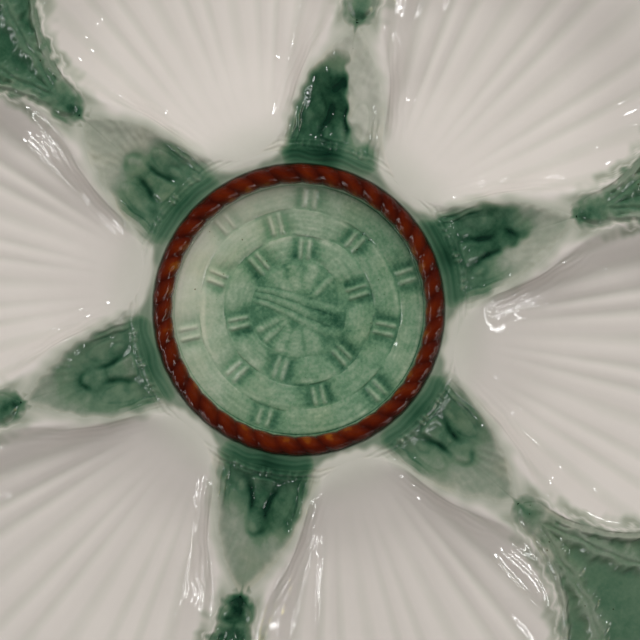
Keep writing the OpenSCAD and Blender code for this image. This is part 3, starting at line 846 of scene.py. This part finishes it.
def node(tree, kind, **inputs):
    """A shader node with some inputs fed by name. Nodes are set out in rows of eight as they are made."""
    n = tree.nodes.new(kind)
    row, place = divmod(len(tree.nodes) - 1, 8)
    n.location = (250 * place, -300 * row)
    for key, value in inputs.items():
        feed(tree, n.inputs[key.replace("_", " ")], value)
    return n

def maths(tree, operation, *values, clamp=False):
    """A math node. MULTIPLY_ADD multiplies the first two values and adds the third."""
    n = node(tree, "ShaderNodeMath")
    n.operation = operation
    n.use_clamp = clamp
    for socket, value in zip(n.inputs, values):
        feed(tree, socket, value)
    return n.outputs[0]

def tint(tree, kind, share, base, colour):
    """A colour laid over another: kind is how they mix, share how much of it shows."""
    n = node(tree, "ShaderNodeMix")
    n.data_type = "RGBA"
    n.blend_type = kind
    for key, value in (("Factor", share), ("A", base), ("B", (*colour, 1))):
        feed(tree, n.inputs[key], value)
    return n.outputs["Result"]

def ramp(tree, share, stops):
    """A colour ramp through the given places and colours."""
    n = node(tree, "ShaderNodeValToRGB", Fac=share)
    marks = n.color_ramp.elements
    while len(marks) < len(stops):
        marks.new(0.5)
    for mark, (place, colour) in zip(marks, stops):
        mark.position = place
        mark.color = (*colour, 1)
    return n.outputs["Color"]

# %% Values from the mesh, noise and new materials
def attribute(tree, name):
    """The value that the mesh carries under that name."""
    n = node(tree, "ShaderNodeAttribute")
    n.attribute_name = name
    return n.outputs["Fac"]

def place_on(tree):
    """The object's own coordinates, in metres."""
    return node(tree, "ShaderNodeTexCoord").outputs["Object"]

def wander(tree, scale, detail=3.0):
    """Noise on object coordinates, centred on zero."""
    noise = node(tree, "ShaderNodeTexNoise", Vector=place_on(tree), Scale=scale, Detail=detail)
    return maths(tree, "SUBTRACT", noise.outputs["Fac"], 0.5)

made = {}

def new_material(name):
    """The empty node tree of a new material. The solids' materials have these names too, so it is kept here."""
    material = made[name] = bpy.data.materials.new(name)
    material.use_nodes = True
    material.node_tree.nodes.clear()
    return material.node_tree

def principled(tree, **inputs):
    """The material's shader, joined to its output, with some inputs fed by name."""
    shader = node(tree, "ShaderNodeBsdfPrincipled", **inputs)
    node(tree, "ShaderNodeOutputMaterial", Surface=shader.outputs["BSDF"])

# %% [markdown]
# All but the rope lies under the same glaze, so one function makes a material for each colour of it. Small dark
# freckles are iron in the clay, and the green is a little warmer in patches. A gentle bump gives the unevenness
# of a poured glaze, which breaks up the lamps' reflections. Where the mesh is bare, on the foot's flat face, it
# shows matt buff clay.

# %% Colours of the glaze by its thickness
WASH = [(0.0, (0.70, 0.645, 0.59)), (0.10, (0.52, 0.515, 0.435)), (0.2, (0.35, 0.365, 0.29)),
        (0.32, (0.22, 0.263, 0.195)), (0.45, (0.126, 0.195, 0.122)), (0.6, (0.063, 0.134, 0.078)),
        (0.75, (0.027, 0.084, 0.044)), (0.9, (0.009, 0.042, 0.021)), (1.0, (0.003, 0.024, 0.012))]
MINT = [(0.0, (0.70, 0.68, 0.58)), (0.2, (0.5, 0.53, 0.40)), (0.35, (0.36, 0.43, 0.31)),
        (0.5, (0.23, 0.33, 0.215)), (0.65, (0.135, 0.25, 0.145)), (0.8, (0.065, 0.16, 0.088)),
        (1.0, (0.02, 0.075, 0.04))]
AMBER = [(0.0, (0.038, 0.003, 0.0005)), (0.35, (0.078, 0.007, 0.0008)), (0.65, (0.115, 0.013, 0.001)),
         (0.9, (0.25, 0.07, 0.005))]
WARM = (1.16, 1.0, 0.82)
IRON = (0.42, 0.36, 0.3)
CLAY = (0.5, 0.38, 0.25)

# %% The glaze over cream and green
def freckle(tree, amount):
    """1 in small dots, 0 elsewhere: each cell of a mosaic has a dot of its own size, and most have none."""
    cells = node(tree, "ShaderNodeTexVoronoi", Vector=place_on(tree), Scale=520.0)
    lot = node(tree, "ShaderNodeSeparateColor", Color=cells.outputs["Color"]).outputs[0]
    size = maths(tree, "MULTIPLY_ADD", lot, 0.5, -0.5 + 0.17 * amount)
    return maths(tree, "LESS_THAN", cells.outputs["Distance"], size)

def glaze(name, stops=WASH, pool=0.3, brush=0.12, freckles=0.3, olive=0.0, speckle=0.1, waves=0.2, clay=False):
    """Green over cream. It is as thick as it was dabbed on, more in the hollows and less on the relief."""
    tree = new_material(name)
    dabbed = attribute(tree, "green")
    washed = maths(tree, "MULTIPLY_ADD", dabbed, 1.3, 0.25, clamp=True)
    sunk = maths(tree, "MULTIPLY_ADD", attribute(tree, "proud"), -1.0, 0.55)
    pooled = maths(tree, "MULTIPLY", sunk, washed)
    run = maths(tree, "MULTIPLY", wander(tree, 130.0, 4.0), washed)
    fine = maths(tree, "ADD", wander(tree, 1200.0, 2.0), wander(tree, 480.0))
    grit = maths(tree, "MULTIPLY", fine, dabbed)
    thick = dabbed
    for extra, share in ((pooled, pool), (run, 2.2 * brush), (grit, speckle)):
        thick = maths(tree, "MULTIPLY_ADD", extra, share, thick)
    patch = maths(tree, "MULTIPLY", wander(tree, 75.0, 2.0), olive, clamp=True)
    warmed = tint(tree, "MULTIPLY", patch, ramp(tree, thick, stops), WARM)
    colour, rough = tint(tree, "MULTIPLY", freckle(tree, freckles), warmed, IRON), 0.055
    if clay:
        bare = attribute(tree, "bare")
        colour, rough = tint(tree, "MIX", bare, colour, CLAY), maths(tree, "MULTIPLY_ADD", bare, 0.75, 0.054)
    bump = node(tree, "ShaderNodeBump", Strength=waves, Distance=0.0002, Height=wander(tree, 260.0, 2.0))
    principled(tree, Base_Color=colour, Roughness=rough, IOR=1.5, Normal=bump.outputs["Normal"])

glaze("shell_glaze", brush=0.05, freckles=0.12, speckle=0.05)
glaze("panel_glaze", pool=0.6, olive=1.2, speckle=0.22, waves=0.3)
glaze("weed_glaze", pool=0.4, brush=0.14, freckles=0.8, olive=0.8, speckle=0.25, waves=0.35)
glaze("mint_glaze", MINT, pool=0.6, brush=0.17, freckles=0.7, olive=1.0, speckle=0.5)
glaze("back_glaze", pool=0.0, brush=0.05, freckles=0.2, clay=True)

# %% [markdown]
# The rope's amber glaze is nearly clear, so it shows a honey colour on the raised strands and turns to dark
# red brown where it fills the cuts between them. Painted light makes the ring's inner side lighter, and painted
# shade makes its outer side darker.

# %% The amber glaze
def amber_glaze():
    """Amber by the strands' height, lighter on the ring's inner side with painted light and darker on its outer
    side with painted shade.
    """
    tree = new_material("rope_glaze")
    tone = maths(tree, "MULTIPLY_ADD", attribute(tree, "proud"), 0.5, wander(tree, 220.0))
    # The side value paints light on the ring's inner side and shade on its outer side.
    tone = maths(tree, "MULTIPLY_ADD", attribute(tree, "side"), -0.25, tone)
    principled(tree, Base_Color=ramp(tree, tone, AMBER), Roughness=0.09, IOR=1.32)

amber_glaze()

# %% Give each piece its glaze, its node and its slot
def dress(obj, slot, *nodes):
    """A piece gets the glaze named like its slot, rides on the plate and stands for its CAD nodes."""
    obj.data.materials.append(made[slot])
    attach(obj, "root")
    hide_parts(*nodes)

for k in range(SHELLS):
    dress(shells[k], "shell_glaze", f"shell_well_{k + 1}")
    dress(panels[k], "panel_glaze", f"basket_panel_{k + 1}")
    dress(weeds[k], "weed_glaze", f"seaweed_{k + 1}")
dress(sauce_dish, "mint_glaze", "sauce_well")
dress(rope_bank, "shell_glaze", "sauce_well")
dress(rope, "rope_glaze", "rope_ring")
dress(plain_back, "back_glaze", "plate_body")
dress(foot, "back_glaze", "foot_ring")
shown = [o.data for o in bpy.data.objects if o.type == "MESH" and not o.hide_render]
print("Triangles shown:", sum(len(mesh.loops) - 2 * len(mesh.polygons) for mesh in shown))

# %% [markdown]
# ## Floor, light and camera
# Three wide soft lamps give the room's light: a window up the picture, the ceiling and a wall low on the left.
# They are left out of the reflections, where small round lamps and thin strips give the short bright glints of
# the real room's lamps and windows. The camera looks straight down and is turned like the photograph.

# %% The floor
FLOOR_HALF = 3.0
UNDER = 1e-4
floor_mesh = bpy.data.meshes.new("floor")
corners = [(FLOOR_HALF * x, FLOOR_HALF * y, -UNDER) for x, y in ((-1, -1), (1, -1), (1, 1), (-1, 1))]
floor_mesh.from_pydata(corners, [], [(0, 1, 2, 3)])
floor = put_object("floor", floor_mesh)
principled(new_material("floor_paint"), Base_Color=(0.8, 0.8, 0.8, 1), Roughness=0.8)
floor.data.materials.append(made["floor_paint"])

# %% Camera
PHOTO_PX = 640
PLATE_PX = (298.8, 309.7)
PX = 0.25 * MM
CAMERA_H = 0.45
SHARP_H = 0.018
SENSOR_MM = 36
TILT = radians(-PHOTO_TURN)
right = Vector((cos(TILT), sin(TILT), 0))
up = Vector((-right.y, right.x, 0))
aim = right * ((PHOTO_PX / 2 - PLATE_PX[0]) * PX) + up * ((PLATE_PX[1] - PHOTO_PX / 2) * PX)
camera_data = bpy.data.cameras.new("camera")
camera_data.sensor_width = SENSOR_MM
camera_data.sensor_fit = "HORIZONTAL"
camera_data.lens = SENSOR_MM * (CAMERA_H - SHARP_H) / (PHOTO_PX * PX)
camera = put_object("camera", camera_data)
camera.matrix_world = Matrix.Translation(aim + Vector((0, 0, CAMERA_H))) @ Matrix.Rotation(TILT, 4, "Z")
scene.camera = camera
print("Lens", round(camera_data.lens, 1), "mm")

# %% A lamp, and its place round the picture
LIT_POINT = Vector((0, 0, 0.02))

def lamp(name, place, size, power, colour=(1, 1, 1), height=0):
    """An area lamp at a place given as right, up and height in the picture: a disc, or a strip that high."""
    data = bpy.data.lights.new(name, "AREA")
    data.shape = "RECTANGLE" if height else "DISK"
    data.size = size
    data.size_y = height or size
    data.energy = power
    data.color = colour
    obj = put_object(name, data)
    spot = right * place[0] + up * place[1] + Vector((0, 0, place[2]))
    turn = (LIT_POINT - spot).to_track_quat("-Z", "Y")
    obj.matrix_world = Matrix.Translation(spot) @ turn.to_matrix().to_4x4()
    return obj

def around(turn, tilt, distance=1.5):
    """A place so far off, turned anticlockwise from the picture's right and tilted from straight above."""
    a, e = radians(turn), radians(tilt)
    return distance * sin(e) * cos(a), distance * sin(e) * sin(a), distance * cos(e)

# %% Lamps for the light
ROOM = (("window", (0.06, 0.48, 0.62), 0.8, 4.6), ("ceiling", (0.0, 0.1, 1.2), 2.6, 6.35),
        ("wall", (-0.5, -0.65, 0.7), 1.0, 1.6))
for name, place, size, power in ROOM:
    lamp(name, place, size, power).visible_glossy = False

# %% Lamps for the glints
SPOTS = 14
GOLDEN_TURN = 137.5
glints = [lamp(f"ceiling_spot_{k + 1}", around(GOLDEN_TURN * k + 20, 56 + 24 * sqrt(k / SPOTS)), 0.06, 0.3)
          for k in range(SPOTS)]
strips = [(turn + 0.5 * tilt - 36, tilt, 0.6) for turn in (181, 213) for tilt in (70, 75, 80, 85)]
strips += [(335 + 0.5 * (tilt - 70), tilt, 0.9) for tilt in (56, 62, 68, 74)]
for k, (turn, tilt, length) in enumerate(strips):
    glints.append(lamp(f"window_strip_{k + 1}", around(turn, tilt), length, 1.4 * length, height=0.014))
glints.append(lamp("yellow_bulb", around(341, 82), 0.5, 0.8, (1.0, 0.85, 0.3), 0.02))
for glint in glints:
    glint.visible_diffuse = False
print("Lamps:", len(ROOM), "for light and", len(glints), "for glints")

# %% The room
def room_light():
    """A pale room whose ceiling is darkest straight above, where the person with the camera stands."""
    world = bpy.data.worlds.new("room")
    scene.world = world
    world.use_nodes = True
    tree = world.node_tree
    tree.nodes.clear()
    way = node(tree, "ShaderNodeTexCoord").outputs["Generated"]
    height = node(tree, "ShaderNodeSeparateXYZ", Vector=way).outputs["Z"]
    above = node(tree, "ShaderNodeMapRange", Value=height,
                 From_Min=0.75, From_Max=0.98, To_Min=0.09, To_Max=0.04)
    above.interpolation_type = "SMOOTHSTEP"
    sky = node(tree, "ShaderNodeBackground", Color=(0.97, 0.98, 1.0, 1), Strength=above.outputs["Result"])
    node(tree, "ShaderNodeOutputWorld", Surface=sky.outputs[0])

room_light()
scene.view_settings.view_transform = "Standard"
